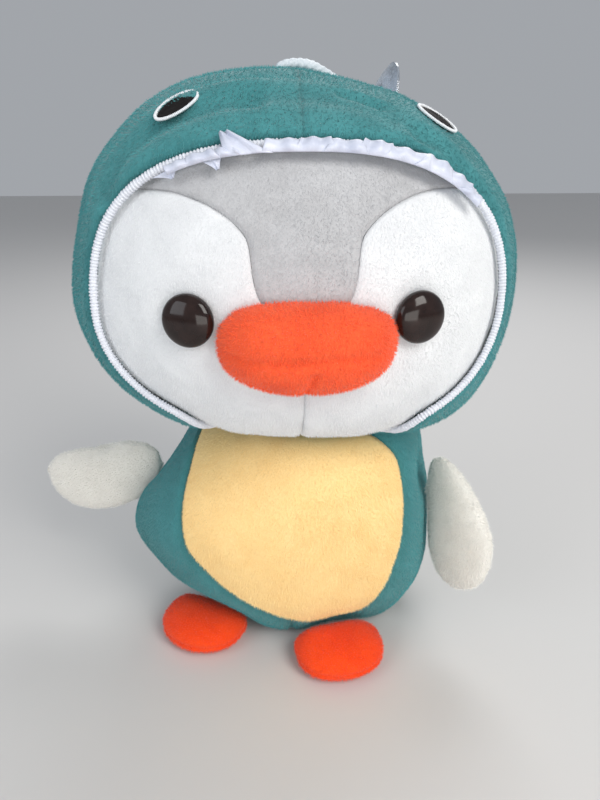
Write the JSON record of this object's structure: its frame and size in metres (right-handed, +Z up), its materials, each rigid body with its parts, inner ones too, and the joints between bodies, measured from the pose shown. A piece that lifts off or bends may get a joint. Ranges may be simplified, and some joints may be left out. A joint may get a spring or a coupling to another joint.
{
  "type": "stuffed toy penguin",
  "caption": "Soft stuffed penguin sitting up, wearing a teal toothed hood with its own eyes, orange beak and feet, cream belly, and a hang loop with a clear suction cup.",
  "frame": {"origin": "on the seat's flat face, on the ground, straight under the middle of the head", "axes": "+Z up, the face looks along -Y, the toy's left side is +X"},
  "size_m": [0.2157, 0.164, 0.2566],
  "materials": {
    "teal_plush": "Short-pile teal plush: the hood, and the back and sides of the torso.",
    "grey_plush": "Short-pile light grey plush of the forehead and the back of the head.",
    "white_plush": "Short-pile white plush of the two cheek panels.",
    "cream_plush": "Short-pile cream plush of the belly.",
    "beak_plush": "Short-pile red-orange plush of the beak.",
    "foot_plush": "Short-pile red-orange plush of both feet.",
    "wing_plush": "Short-pile beige-grey plush of both wings.",
    "white_trim": "White ribbed binding round the hood's opening.",
    "satin": "White satin of the hood's teeth.",
    "embroidery": "Dense black embroidery with a thin white edge, the hood's own eyes.",
    "eye_plastic": "Glossy dark brown plastic of the safety eyes.",
    "washer_plastic": "Matte white plastic of the washers that lock the eyes.",
    "cord_white": "White twisted cord of the hang loop.",
    "clear_plastic": "Clear bluish flexible plastic of the suction cup.",
    "label_cloth": "Plain white woven tape of the care label.",
    "stuffing": "Polyester fibre stuffing."
  },
  "bodies": {
    "torso": {"body_stuffing": "stuffing", "back_panel_left": "teal_plush", "back_panel_right": "teal_plush", "belly_panel": "cream_plush", "seat_panel": "teal_plush", "care_label": "label_cloth"},
    "head": {"head_stuffing": "stuffing", "head_back_panel": "grey_plush", "forehead_panel": "grey_plush", "cheek_panel_left": "white_plush", "cheek_panel_right": "white_plush", "hood_left": "teal_plush", "hood_right": "teal_plush", "hood_binding": "white_trim", "hood_teeth": "satin", "hood_eye_left": "embroidery", "hood_eye_right": "embroidery", "beak_cover": "beak_plush", "beak_stuffing": "stuffing", "eye_left": "eye_plastic", "eye_right": "eye_plastic", "eye_washer_left": "washer_plastic", "eye_washer_right": "washer_plastic"},
    "wing_left": {"wing_left_front": "wing_plush", "wing_left_back": "wing_plush", "wing_left_stuffing": "stuffing"},
    "wing_right": {"wing_right_front": "wing_plush", "wing_right_back": "wing_plush", "wing_right_stuffing": "stuffing"},
    "foot_left": {"foot_left_top": "foot_plush", "foot_left_sole": "foot_plush", "foot_left_stuffing": "stuffing"},
    "foot_right": {"foot_right_top": "foot_plush", "foot_right_sole": "foot_plush", "foot_right_stuffing": "stuffing"},
    "hang_loop": {"loop_cord": "cord_white", "suction_cup": "clear_plastic"}
  },
  "joints": [
    {"name": "neck_turn", "type": "hinge", "parent": "torso", "child": "head", "pos_m": [0, 0.004, 0.111], "axis": [0, 0, 1], "range_deg": [-12, 12], "stiffness_Nm_per_rad": 0.3},
    {"name": "wing_left_flap", "type": "hinge", "parent": "torso", "child": "wing_left", "pos_m": [0.067, -0.0105, 0.084], "axis": [-0.2, -0.9798, 0], "range_deg": [0, 100], "stiffness_Nm_per_rad": 0.03},
    {"name": "wing_right_flap", "type": "hinge", "parent": "torso", "child": "wing_right", "pos_m": [-0.0655, 0.016, 0.0775], "axis": [0, 1, 0], "range_deg": [0, 60], "stiffness_Nm_per_rad": 0.03},
    {"name": "foot_left_flex", "type": "hinge", "parent": "torso", "child": "foot_left", "pos_m": [0.01642, -0.03018, 0.0055], "axis": [-0.9848, -0.1736, 0], "range_deg": [0, 15], "stiffness_Nm_per_rad": 0.02},
    {"name": "foot_right_flex", "type": "hinge", "parent": "torso", "child": "foot_right", "pos_m": [-0.04055, -0.01031, 0.0055], "axis": [-0.891, 0.454, 0], "range_deg": [0, 15], "stiffness_Nm_per_rad": 0.02},
    {"name": "loop_lift", "type": "hinge", "parent": "head", "child": "hang_loop", "pos_m": [-0.005, 0.0124, 0.25], "axis": [0.5593, -0.829, 0], "range_deg": [0, 45]}
  ]
}
